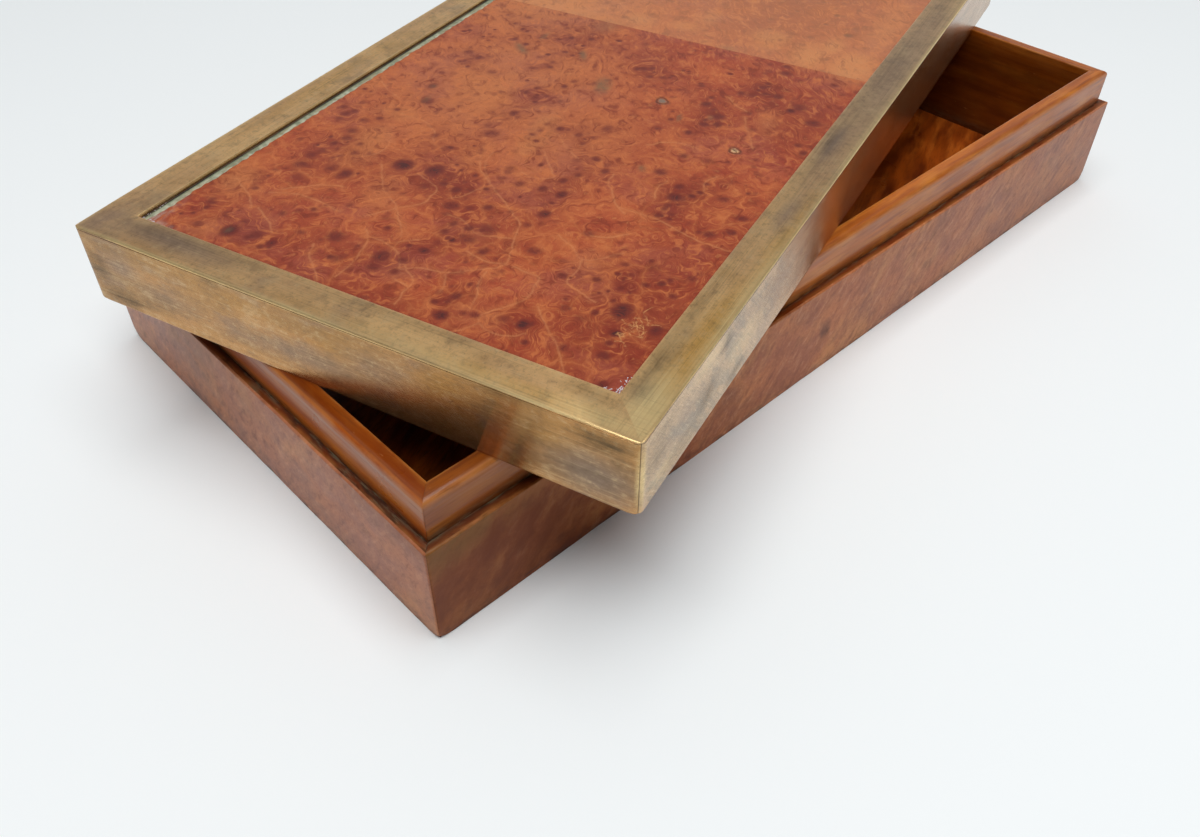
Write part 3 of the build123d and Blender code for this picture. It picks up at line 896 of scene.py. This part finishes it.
def random_eyes(rng):
    """More small eyes, in loose clusters on the near half and sparser beyond."""
    made = []
    for _ in range(EYE_CLUSTERS):
        cx, cy = rng.uniform(-160, 10), rng.uniform(-72, 72)
        for _ in range(rng.randint(3, 7)):
            x, y = rng.gauss(cx, 5), rng.gauss(cy, 5)
            made.append((x, y, rng.uniform(0.9, 2.3), rng.uniform(0.3, 0.6)))
    for _ in range(LONE_EYES):
        x, y = rng.uniform(-10, 172), rng.uniform(-74, 74)
        made.append((x, y, rng.uniform(1.0, 2.6), rng.uniform(0.2, 0.55)))
    return made


def add_line(flat, edges, width, line):
    """Adds points and edges along a fine line and along both of its sides."""
    first = len(flat)
    flat += line
    edges += [(first + k, first + k + 1) for k in range(len(line) - 1)]
    for side in (-1, 1):
        first = len(flat)
        for a, b, c in zip(line, line[1:], line[2:]):
            across = Vector((a.y - c.y, c.x - a.x)).normalized()
            flat.append(b + across * side * width)
        edges += [(first + k, first + k + 1) for k in range(len(line) - 3)]


def rings(eyes):
    """Rings of points round eyes, fillings and pins: place, radius and how many points."""
    eye_rings = ((0, 1), (0.4, 7), (0.8, 10), (1.2, 13))
    filling_rings = ((0, 18), (0.75, 18), (1, 18), (1.3, 18), (1.8, 18))
    pin_rings = ((0, 1), (0.6, 8), (1, 10))
    made = []
    for places, shares in ((eyes, eye_rings), (FILLED, filling_rings), (LIGHT_PINS, pin_rings)):
        made += [(x, y, r * share, n) for x, y, r, *_ in places for share, n in shares]
    return made


def lid_leaf(name, node, material, x_low, x_high, eyes):
    """One leaf of the lid: a flat top whose points carry its veins, eyes, patches and fillings."""
    half_y = WIDTH / 2 - BRASS - LEAF_GAP
    x_low, x_high = x_low + LEAF_GAP, x_high - LEAF_GAP
    xs = np.linspace(x_low, x_high, round((x_high - x_low) / GRID) + 1)
    ys = np.linspace(-half_y, half_y, round(2 * half_y / GRID) + 1)
    flat, edges = [Vector((x, y)) for y in ys for x in xs], []
    lines = vein_lines(x_low, x_high, half_y)
    for width, line in lines:
        add_line(flat, edges, width, line)
    own = [e for e in eyes if x_low + e[2] < e[0] < x_high - e[2] and abs(e[1]) < half_y - e[2]]
    for x, y, r, n in rings(own):
        if x_low + r + 0.1 < x < x_high - r - 0.1:
            turns = [2 * pi * k / n for k in range(n)]
            flat += [Vector((x + r * cos(turn), y + r * sin(turn))) for turn in turns]
    found, _, triangles, *_ = delaunay_2d_cdt(flat, edges, [], 0, 0.02)
    top = np.array([(v.x, v.y, LEAF_TOP) for v in found])
    data = leaf_data(top, lines, own)
    top[:, 2] -= 0.02 + 0.04 * data["eye"] + 0.12 * data["pit"]
    points, faces = close_below(top, [tuple(t) for t in triangles], LEAF_LOW + 0.01)
    data = {key: np.append(values, np.zeros(len(points) - len(top))) for key, values in data.items()}
    made = new_object(name, points, faces, LID_FRAME, "lid", material, data, crease=60)
    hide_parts(node)


def close_below(top, faces, low):
    """Adds side walls and an underside to a flat sheet of faces."""
    used = {(a, b) for face in faces for a, b in zip(face, face[1:] + face[:1])}
    rim = {a: b for a, b in used if (b, a) not in used}
    start = min(rim)
    loop = [start]
    while rim[loop[-1]] != start:
        loop.append(rim[loop[-1]])
    first, count = len(top), len(loop)
    below = np.array([(top[i][0], top[i][1], low) for i in loop])
    walls = [(loop[(k + 1) % count], loop[k], first + k, first + (k + 1) % count) for k in range(count)]
    return np.concatenate([top, below]), faces + walls + [tuple(first + k for k in range(count))[::-1]]


def draw_line(data, x, y, width, line):
    """Marks the points along a vein or a thread, and the golden band beside it."""
    kind = "vein" if width == VEIN_WIDTH else "curl"
    for a, b in zip(line, line[1:]):
        close = (abs(x - a.x) < 3) & (abs(y - a.y) < 3)
        if close.any():
            p = np.stack([x[close] - a.x, y[close] - a.y], 1)
            d = np.array([b.x - a.x, b.y - a.y])
            t = unit(p @ d / (d @ d))
            gap = np.hypot(*(p - t[:, None] * d).T)
            data[kind][close] = np.maximum(data[kind][close], fade(gap, width))
            data["gold"][close] = np.maximum(data["gold"][close], 0.4 * fade(gap, 3) ** 2)


def leaf_data(points, lines, eyes):
    """What each point of a leaf carries for its material."""
    x, y = points[:, 0], points[:, 1]
    names = ("vein", "curl", "eye", "hill", "pit", "grey", "gold", "red", "filled", "dim")
    data = {key: np.zeros(len(points)) for key in names}

    def raise_to(key, values):
        data[key] = np.maximum(data[key], values)

    for width, line in lines:
        draw_line(data, x, y, width, line)
    halo = np.zeros(len(points))
    for ex, ey, radius, strength in eyes:
        stretch = 1 + 0.12 * sin(ex * 3.1 + ey)
        gap = np.hypot((x - ex) * stretch, (y - ey) / stretch) / radius
        soft = unit((1.25 - gap) / 1.2)
        raise_to("eye", strength * soft * soft * (3 - 2 * soft))
        data["hill"] += strength * np.exp(-((gap / 1.9) ** 2))
        halo += strength * 0.42 * np.exp(-((gap / 2.7) ** 2))
    for key, (patches, reach, gain) in PATCHES.items():
        for px, py, rx, ry, turn, strength in patches:
            raise_to(key, strength * gain * blob(points, px, py, rx * reach, ry * reach, turn))
    data["red"] = np.clip(np.maximum(data["red"], halo), 0, 0.85)
    for fx, fy, radius, dim in FILLED:
        turn = np.arctan2(y - fy, x - fx)
        gap = np.hypot(x - fx, y - fy) / (1 + 0.12 * np.sin(2 * turn + fx) + 0.08 * np.sin(3 * turn))
        data["dim"] = np.where(gap < radius * 2, dim, data["dim"])
        raise_to("filled", unit((1.1 - gap / radius) * 3))
        raise_to("pit", fade(abs(gap - radius * 1.35), radius * 0.5) * 0.9)
    for fx, fy, radius in LIGHT_PINS:
        raise_to("vein", 1.3 * fade(np.hypot(x - fx, y - fy), radius))
    from_border = np.minimum(LENGTH / 2 - BORDER - abs(x), WIDTH / 2 - BORDER - abs(y))
    data["netted"] = unit((-8 - x) / 70) * 0.88 + 0.12
    data["edge"] = fade(from_border, 3.5) * 0.6
    # Haze by the far left corner, partly a painted sheen.
    data["haze_and_sheen"] = np.maximum(blob(points, -160, 75, 16, 5), blob(points, -163, 71, 3, 10)) * 1.1
    return data


# ---- box -----------------------------------------------------------------------------------
# How much painted shade darkens and reddens each side's lip and ledge.
SIDE_TONE = {"front": 0.0, "right": 0.3, "back": 0.2, "left": 0.75}


def wall_leaf(side, number, material):
    """The burl outside one wall: eased, rubbed edges and a blunt foot."""
    edge, foot = 0.45, 0.35
    low, high = foot + 0.5, LEDGE - edge - 0.5
    outline = [(VENEER - 0.01, 0.0), (foot + 0.1, 0.0)]
    outline += arc_points((foot, foot), foot, 270, 180, 4)
    outline += [(0, low), *upright(0, low, high, 3), (0, high)]
    outline += arc_points((edge, LEDGE - edge), edge, 180, 90, 4)
    outline += [(VENEER - 0.01, LEDGE)]
    points, faces, from_end = swept(side_length(side), outline[::-1], WALL_CORNER)
    x, y, z = points.T
    rim = fade(LEDGE - z, 1.2) * fade(y, 0.8)
    base = fade(z, 1.4) * fade(y, 0.8)
    nick = unit(wobble(points, 5, number + 20) - 0.2) * 0.28 + 0.06
    z -= rim * nick
    y += rim * nick * 0.5
    y += base * (unit(wobble(points, 9, number + 30)) * 0.12)
    blunt = fade(from_end, 4.5) ** 2 * fade(z, 5) ** 2
    z += blunt * 1.5
    y += blunt * 0.5 * fade(y, 0.8)
    y += (y < 0.02) * (0.05 + 0.04 * wobble(points, 42, number + 40))
    view = points[:, [0, 2]]
    data = {
        "edge": np.maximum(fade(LEDGE - z, 1.3), fade(from_end, 1.3) * 0.8),
        # The foot is where the painted shade along the bottom edge goes.
        "foot": fade(z, 1.8),
        "eye": np.zeros(len(points)),
        # Painted shade: tone darkens a patch high up by one end of the wall.
        "tone": blob(view, 172, 34, 60, 8) * 0.5,
        "olive": blob(view, 60, 30, 60, 20) * 0.4,
        # Painted sheen: all over the left wall, weaker on the others.
        "mauve_sheen": np.full(len(points), 1.0 if side == "left" else 0.4),
    }
    if side == "front":
        data["eye"] = blob(view, 164.5, 17, 4, 5.5) * 0.9
        # Painted shade on the front wall, strongest by the near corner under the lid.
        data["tone"] = unit(blob(view, 20, 12, 74, 50) * 1.5)
        data["olive"] = blob(view, 8, 36, 46, 16)
        # Painted sheen on the front wall, growing towards its far end.
        data["mauve_sheen"] = unit((x - 60) / 220)
    frame_here = side_frame(side, BOX_FRAME)
    made = new_object("wall_burl_" + side, points, faces, frame_here, "box", material, data)
    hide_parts(side + "_burl_veneer")


def wall_core(side, number, material):
    """The board behind the burl, whose rubbed top is the ledge."""
    depth = LEDGE_WIDTH - VENEER
    dirty = 1.7 if side == "left" else 1.1
    outline = [(0, 0), (0, LEDGE - 0.02)]
    outline += [(y, LEDGE) for y in (0.15, 0.9, 1.8, depth - 0.35, depth - 0.02)]
    outline += [(depth - 0.02, 0)]
    points, faces, from_end = swept(side_length(side, VENEER), outline[::-1], LEDGE_CORNER)
    x, y, z = points.T
    top = z > LEDGE - 0.1
    z -= top * (0.05 + 0.05 * wobble(points, 8, number + 50))
    dirt = np.maximum(unit((y - (depth - dirty)) / dirty), fade(from_end - y, 0.4) * 0.8)
    if side == "left":
        patches = np.clip(1.3 * wobble(points, 7, 77), 0, 0.85)
        patches = np.maximum(patches, blob(points, 152, 1.4, 22, 3.2) * 0.9)
        dirt = np.maximum(dirt, patches)
    # Painted shade: the front ledge darkens towards the near corner under the lid; the other sides take
    # their share of the painted shade.
    tone = unit(1.3 - x / 50) if side == "front" else np.full(len(points), 0.35 * SIDE_TONE[side])
    data = {"edge": top * fade(y, 1.5) * 0.6, "dirt": top * dirt, "tone": tone}
    frame_here = side_frame(side, BOX_FRAME, VENEER)
    made = new_object("ledge_" + side, points, faces, frame_here, "box", material, data)
    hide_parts(side + "_wall_board")


def lip_outline():
    """Section of a lip board: up its outside, over its rounded top and down its inside."""
    outer, inner = 1.9, 0.5
    low, high = LEDGE + 0.4, LIP_TOP - outer - 0.5
    inside = LIP_TOP - inner - 0.6
    outline = [(0, BOTTOM_TOP), (0, LEDGE - 0.5), (0, low), *upright(0, low, high, 2.4), (0, high)]
    outline += arc_points((outer, LIP_TOP - outer), outer, 180, 90, 6)
    outline += [(outer + 0.5, LIP_TOP), (3.3, LIP_TOP), (LIP_BOARD - inner - 0.5, LIP_TOP)]
    outline += arc_points((LIP_BOARD - inner, LIP_TOP - inner), inner, 90, 0, 4)
    outline += [(LIP_BOARD, inside), *upright(LIP_BOARD, inside, BOTTOM_TOP, 6)]
    return outline + [(LIP_BOARD, BOTTOM_TOP)]


def lip(side, number, material):
    """The inner board that rises above the ledge, its top edges rounded by use."""
    points, faces, _ = swept(side_length(side, LEDGE_WIDTH), lip_outline(), LIP_CORNER)
    x, y, z = points.T
    near_top = fade(LIP_TOP - z, 2.5)
    worn = near_top * fade(y, 2.0)
    wave = wobble(points, 11, number + 60)
    z -= worn * (0.10 + 0.09 * wave)
    y += worn * (0.06 + 0.05 * wave)
    y += ((y < 0.05) & (z > LEDGE)) * (0.04 + 0.035 * wobble(points, 24, number + 70))
    dirt = (y < 0.5) * fade(abs(z - LEDGE), 1.2)
    low_inside = (y > LIP_BOARD - 0.5) * fade(z - BOTTOM_TOP, 5)
    edge = np.maximum(fade(abs(y - 0.4), 1.2), fade(abs(y - LIP_BOARD + 0.2), 0.9) * 0.7)
    # Painted sheen along the upper outer rounding, strongest on the left side.
    band = fade(abs(z - LIP_TOP + 3.2), 3.4) * (y < 2.0)
    # Painted shade: the lip is darker on its inside face, towards the near corner of the front under the
    # lid, and on the left side most, less so on its outer face.
    inside = (y > LIP_BOARD - 0.3) * unit((LIP_TOP - z) / 3)
    above = np.where(y > 1.3, 1.0, 0.7 if side == "front" else 0.35)
    by_corner = unit(1.6 - x / 40) * 0.85 if side == "front" else SIDE_TONE[side]
    data = {
        "edge": near_top * edge,
        "dirt": np.maximum(dirt, low_inside * 0.6),
        "haze_and_sheen": band * (0.9 if side == "left" else 0.25),
        "tone": np.maximum(above * by_corner, inside * 0.85),
    }
    frame_here = side_frame(side, BOX_FRAME, LEDGE_WIDTH)
    made = new_object("lip_" + side, points, faces, frame_here, "box", material, data)
    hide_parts(side + "_lip_board")


# ---- crust and dirt ------------------------------------------------------------------------

def crust_strip(name, side, start, near, far, material, seed, height):
    """An uneven strip on the leaf beside a border, from `near` to `far` mm in from the border."""
    near, far, end = BORDER + near, BORDER + far, side_length(side) - start
    xs = np.arange(start, end, 0.6)
    centre = (near + far) / 2
    top = []
    for x in xs:
        taper = min(1.0, (x - start) / 6, (end - x) / 6)
        ragged = noise.noise(Vector((x / 2.2, seed, 0))) * 0.55 + noise.noise(Vector((x / 9, seed, 4))) * 0.5
        tip = centre + (far - centre) * max(0.1, taper) + ragged * (far - near) * 0.5
        reach = max(near + 0.25, tip) - near
        for share, lift in ((0, 0.7), (0.3, 1), (0.75, 1), (1, 0)):
            top.append((x, near + reach * share, LEAF_TOP + height * lift))
    quads = [4 * r + c for r in range(len(xs) - 1) for c in range(3)]
    points, faces = close_below(np.array(top), [(q, q + 4, q + 5, q + 1) for q in quads], LEAF_TOP - 0.015)
    green = np.array([0.9, 0.315, 0.0, 0.0] * len(xs) + [0.0] * (len(points) - len(top)))
    frame_here = side_frame(side, LID_FRAME)
    new_object(name, points, faces, frame_here, "lid", material, {"green": green}, crease=60)


def crumbs(name, corner, material, rng, count, reach):
    """Thin broken strokes of dried polish along both edges of one inner corner of the leaf."""
    points, faces = [], []
    sx, sy = corner
    inner = (LENGTH / 2 - BORDER - 0.15, WIDTH / 2 - BORDER - 0.15)
    for k in range(count):
        along, out = abs(rng.gauss(0, 0.45)) * reach, abs(rng.gauss(0, 0.55)) + 0.15
        turn = rng.choice((0, 0, pi / 2, pi / 4)) + rng.uniform(-0.25, 0.25)
        long, thin = rng.uniform(0.5, 1.5), rng.uniform(0.1, 0.2)
        if k % 2:
            place = (along + 0.4, out)
        else:
            place, turn = (out, along * 0.6 + 0.4), turn + pi / 2
        x, y = sx * (inner[0] - place[0]), sy * (inner[1] - place[1])
        first = len(points)
        for level, share in ((-0.03, 1.0), (0.035, 0.7)):
            for u, v in ((-1, 0), (-0.5, -1), (0.4, -0.8), (1, 0), (0.5, 0.9), (-0.4, 1)):
                u, v = u * long * share / 2, v * thin * share
                px = x + u * cos(turn) - v * sin(turn)
                py = y + u * sin(turn) + v * cos(turn)
                points.append((sx * min(sx * px, inner[0]), sy * min(sy * py, inner[1]), LEAF_TOP + level))
        bottom = [first + k for k in range(6)]
        faces += [(a, b, b + 6, a + 6) for a, b in zip(bottom, bottom[1:] + bottom[:1])]
        faces += [tuple(a + 6 for a in bottom), tuple(bottom[::-1])]
    data = {"lilac": [0.8] * len(points)}
    new_object(name, points, faces, LID_FRAME, "lid", material, data, crease=60)


# ============================================================================================
# Making the object
# ============================================================================================

# Strips of dried polish, and dark strips of dirt and painted shade in the recess by the border: side,
# where each starts, its band in mm in from the border, the seed of its shape and its height.
STRIPS = {
    "crust_back": ("back", 13, 0.9, 2.9, 2, 0.06),
    "grime_and_shade_back": ("back", 12.6, 0.05, 1.2, 3, 0.03),
    "grime_and_shade_left": ("left", 12.6, 0.05, 0.5, 5, 0.03),
    "grime_and_shade_front": ("front", 12.6, 0.05, 0.5, 6, 0.03),
    "grime_and_shade_right": ("right", 12.6, 0.05, 0.7, 7, 0.03),
}


def dress_lid():
    metal = brass()
    for number, side in enumerate(SIDES):
        brass_angle(side, number + 1, metal)
    rng = random.Random(LID_SEED)
    eyes = EYES + random_eyes(rng)
    end = LENGTH / 2 - BRASS
    left = lid_burl("lid_burl", light=False, shift=0)
    right = lid_burl("lid_burl_light", light=True, shift=40)
    lid_leaf("burl_top_left", "lid_burl_leaf_left", left, -end, SEAM, eyes)
    lid_leaf("burl_top_right", "lid_burl_leaf_right", right, SEAM, end, eyes)
    # The dark strips are dirt and painted shade in the recess by the border.
    pale, dark = crust(), grime_and_shade()
    for name, (side, start, near, far, seed, height) in STRIPS.items():
        crust_strip(name, side, start, near, far, pale if name == "crust_back" else dark, seed, height)
    crumbs("crumbs_near_corner", (-1, -1), pale, rng, count=46, reach=9)
    crumbs("crumbs_back_corner", (-1, 1), pale, rng, count=26, reach=10)


def dress_box():
    burl = wall_burl()
    ledge = worn_wood(
        "ledge_wood", "#5A1E00", "#763002", "#8C4008", deep="#5C2A10", rough=0.45, coat=0.02, gloss=0.2
    )
    lip_wood = worn_wood(
        "lip_wood", "#964806", "#C06814", "#D28228", deep="#5A2608", rough=0.34, coat=0.3, gloss=0.25
    )
    left_lip = worn_wood(
        "left_lip_wood", "#A04604", "#BC6008", "#D07C20", deep="#5A1E08", rough=0.3, coat=0.1, gloss=0.15
    )
    for number, side in enumerate(SIDES):
        wall_leaf(side, number + 1, burl)
        wall_core(side, number + 1, ledge)
        lip(side, number + 1, left_lip if side == "left" else lip_wood)


# Woods of the nodes that stay as they are: dark, middle and pale colour, roughness and coat.
RAILS = [side + "_lid_rail" for side in SIDES]
PLAIN_WOODS = {
    "bottom_wood": (["bottom_board"], "#4A2C1A", "#6E4529", "#845636", 0.5, 0.1),
    "rail_wood": (RAILS, "#4C2A16", "#75451F", "#8A5630", 0.45, 0.2),
    "core_wood": (["lid_core_board"], "#7A5A38", "#A07E54", "#B89468", 0.6, 0.0),
    "lining_wood": (["lid_lining"], "#4E2412", "#7A3E20", "#93532C", 0.35, 0.4),
    "floor_wood": (["floor_veneer"], "#642404", "#A84C10", "#C86820", 0.3, 0.4),
}
FLOOR_FIGURE = {"band": (30, 7, 7), "pore": (5, 0.8, 0.8), "turn": 24}


def dress_nodes():
    """Gives the nodes that stay as they are their wood."""
    for name, (nodes, dark, middle, pale, rough, coat) in PLAIN_WOODS.items():
        figure = FLOOR_FIGURE if name == "floor_wood" else {}
        wood = plain_wood(name, dark, middle, pale, rough=rough, coat=coat, **figure)
        for node in nodes:
            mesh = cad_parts[node].data
            mesh.materials.clear()
            mesh.materials.append(wood)


# ============================================================================================
# Stage
# ============================================================================================

CAMERA_PLACE = (-0.25673, -0.23535, 0.23674)
CAMERA_TURN = (46.405, -0.414, -43.542)
CAMERA_LENS = 31.119
TABLE_SIZE = 12                         # metres
BRIGHT_SKY = (0.406, 0.579, 0.707)      # where the sky is brightest, beyond the box
SKY_LEVEL, SKY_GLOW = 0.12, 0.5         # the even sky, and what its bright part adds
HORIZON_LOW, HORIZON_HIGH = 0.17, 0.3   # heights between which the white horizon ends
FADE_START, FADE_END = 450, 900         # distances over which the table becomes background
LAMP_PLACE = (-0.28, -0.42, 2.0)
LAMP_SIZE, LAMP_POWER = 1.8, 39.8


def table_paint():
    """Pale table top, which goes over into a plain pale background far from the box."""
    p = Paint("table")
    tone = p.mix(p.ramp(p.noise(900, 2), 0.3, 0.7), "#F3F7F8", "#F5F9FA")
    lit = p.node("BsdfPrincipled", {"Base Color": tone, "Roughness": 0.85, "Specular IOR Level": 0.25})
    distance = p.node("VectorMath", {0: p.object}, operation="LENGTH").outputs["Value"]
    away = p.times(p.ramp(distance, FADE_START * MM, FADE_END * MM), p.shows_background())
    plain = p.node("Emission", {"Color": tone, "Strength": 1.0})
    both = p.node("MixShader", {0: away, 1: lit.outputs[0], 2: plain.outputs[0]})
    p.node("OutputMaterial", {0: both.outputs[0]})
    return p.made


def studio_world():
    """A dim even sky, brightest beyond the box, over a white horizon."""
    p = Paint("studio", bpy.data.worlds)
    way = p.node("TexCoord").outputs["Generated"]
    toward = p.node("VectorMath", {0: way, 1: BRIGHT_SKY}, operation="DOT_PRODUCT").outputs["Value"]
    lobe = p.calc("POWER", p.calc("MAXIMUM", toward, 0.0), 4.0)
    level = p.plus(p.times(lobe, SKY_GLOW), SKY_LEVEL)
    height = p.node("SeparateXYZ", {0: way}).outputs[2]
    horizon = p.times(p.ramp(height, HORIZON_LOW, HORIZON_HIGH, 1, 0), p.shows_background())
    sky = p.node("Background", {0: rgba("#FBFDFF"), 1: p.blend_values(horizon, level, 1.0)})
    p.node("OutputWorld", {0: sky.outputs[0]})
    return p.made


def stage():
    """A pale table without an edge in view, an even sky and one large soft lamp above."""
    bpy.ops.mesh.primitive_plane_add(size=TABLE_SIZE)
    table = bpy.context.object
    table.name = "table"
    table.data.materials.append(table_paint())
    bpy.context.scene.world = studio_world()

    lamp = bpy.data.lights.new("softbox", "AREA")
    lamp.shape = "RECTANGLE"
    lamp.size, lamp.size_y = LAMP_SIZE, LAMP_SIZE
    lamp.energy = LAMP_POWER
    holder = bpy.data.objects.new("softbox", lamp)
    bpy.context.scene.collection.objects.link(holder)
    holder.location = LAMP_PLACE


def camera():
    data = bpy.data.cameras.new("camera")
    data.lens = CAMERA_LENS
    data.sensor_width = 36
    data.clip_start = 0.01
    made = bpy.data.objects.new("camera", data)
    bpy.context.scene.collection.objects.link(made)
    made.location = CAMERA_PLACE
    made.rotation_euler = Euler([radians(v) for v in CAMERA_TURN])
    bpy.context.scene.camera = made


camera()
stage()
dress_lid()
dress_box()
dress_nodes()
bpy.context.scene.view_settings.view_transform = "Standard"
